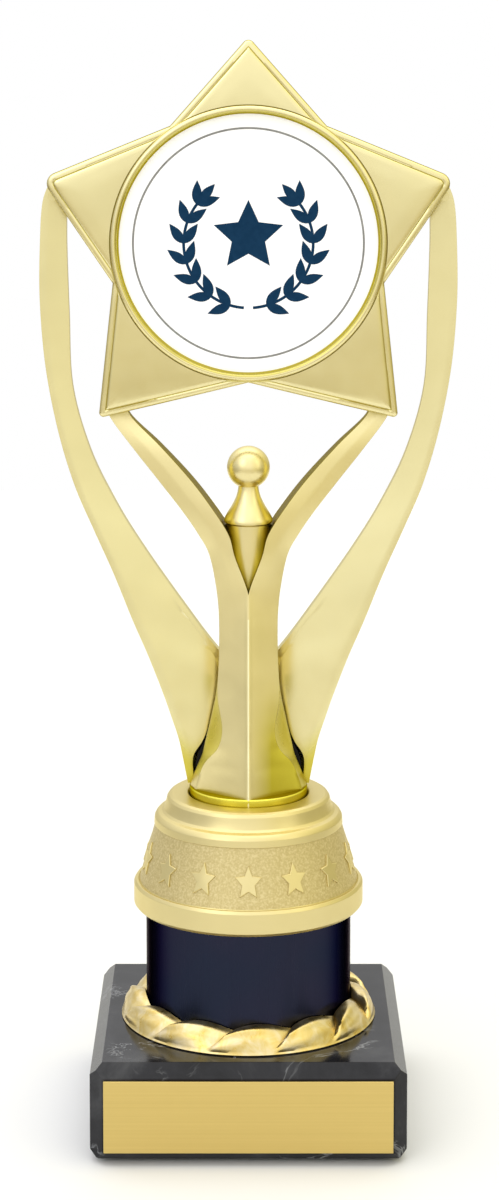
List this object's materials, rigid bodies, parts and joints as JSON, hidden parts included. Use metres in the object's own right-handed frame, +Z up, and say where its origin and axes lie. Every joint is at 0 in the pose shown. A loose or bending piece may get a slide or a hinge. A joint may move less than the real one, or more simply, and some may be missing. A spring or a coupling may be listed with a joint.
{
  "type": "star trophy",
  "caption": "Star-topped presentation trophy: marble block with a plate, short wrapped column with a wreath, riser, and a winged figure that holds up a star with a round insert.",
  "frame": {"origin": "centre of the underside of the felt pad, on the surface that the trophy stands on", "axes": "+Z up, the front with the plate and the disc faces -Y, +X to the right seen from the front"},
  "size_m": [0.0808, 0.0606, 0.211],
  "materials": {
    "felt": "black self-adhesive felt",
    "marble": "polished black marble with fine pale veins",
    "tape": "double-sided adhesive sheet",
    "plate_gold": "gold anodised sheet, satin polish",
    "steel": "zinc plated steel",
    "brass": "turned brass",
    "wreath_gold": "vacuum metallised warm gold over plastic, lacquered",
    "plug_plastic": "unpainted moulded plastic",
    "tube_card": "spiral wound card tube",
    "navy_film": "dark navy metallised film, glossy",
    "riser_gold": "vacuum metallised pale gold, polished with a frosted cone",
    "black_plastic": "black moulded plastic",
    "figure_gold": "vacuum metallised pale gold over plastic, polished",
    "star_gold": "vacuum metallised pale gold over plastic, polished",
    "disc_white": "printed white plastic disc",
    "foam": "grey foam sheet"
  },
  "bodies": {
    "root": {"base_pad": "felt", "marble_base": "marble", "plate_tape": "tape", "engraving_plate": "plate_gold", "base_washer": "steel", "base_nut": "steel", "tie_rod": "steel", "wreath_ring": "wreath_gold", "tube_bottom_plug": "plug_plastic", "tube": "tube_card", "tube_film": "navy_film", "tube_top_plug": "plug_plastic", "riser": "riser_gold", "foot_core": "black_plastic", "figure_nut": "brass", "body_front": "figure_gold", "body_back": "figure_gold", "left_wing": "figure_gold", "right_wing": "figure_gold", "head": "figure_gold", "star_front": "star_gold", "centre_disc": "disc_white", "disc_pad": "foam", "star_back": "star_gold"}
  },
  "joints": []
}
